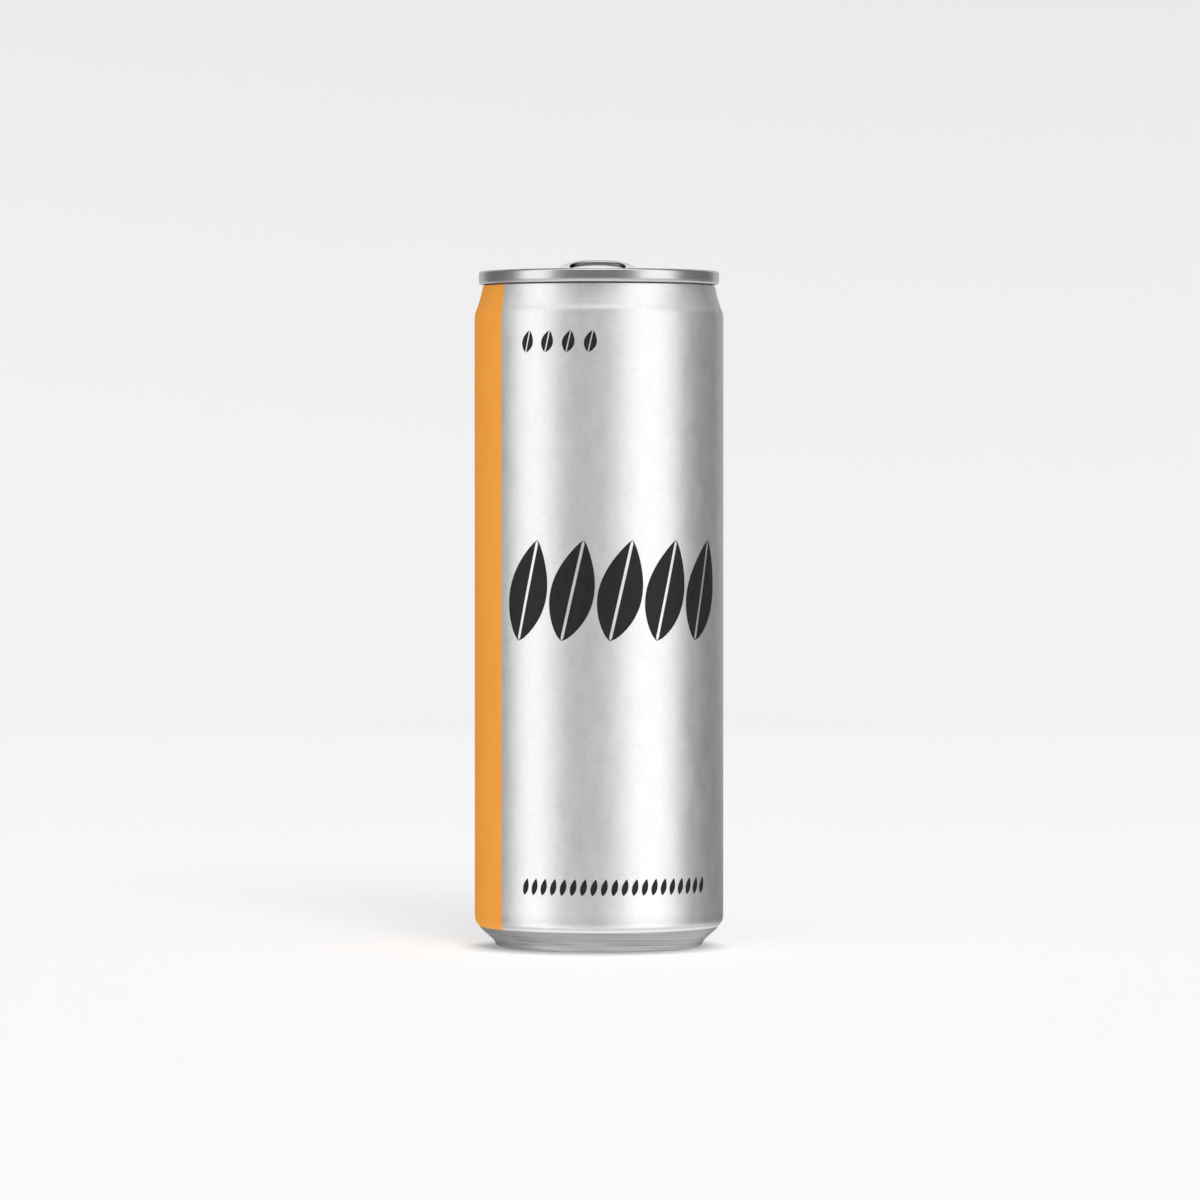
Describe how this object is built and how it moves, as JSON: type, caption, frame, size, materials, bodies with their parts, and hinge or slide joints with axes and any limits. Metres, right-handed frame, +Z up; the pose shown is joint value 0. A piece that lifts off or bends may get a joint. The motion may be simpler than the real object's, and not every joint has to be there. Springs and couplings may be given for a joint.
{
  "type": "drinks can",
  "caption": "Tall slim aluminium drinks can, shut and full, with a necked body, a domed base, a lid with a rolled seam and a pull tab left partly raised.",
  "frame": {"origin": "middle of the base, on the plane of the ring that the can stands on", "axes": "+Z up along the can's axis, -Y towards the front with the mouth panel and the tab's nose, +Y towards the tab's finger ring"},
  "size_m": [0.0574, 0.0574, 0.1587],
  "materials": {
    "lacquered_aluminium": "drawn aluminium under a matt clear lacquer, with a printed orange band",
    "lid_aluminium": "rolled and lacquered, half gloss",
    "tab_aluminium": "rolled, half gloss, with hemmed edges"
  },
  "bodies": {
    "root": {"can_body": "lacquered_aluminium", "can_end": "lid_aluminium", "pull_tab": "tab_aluminium"}
  },
  "joints": []
}
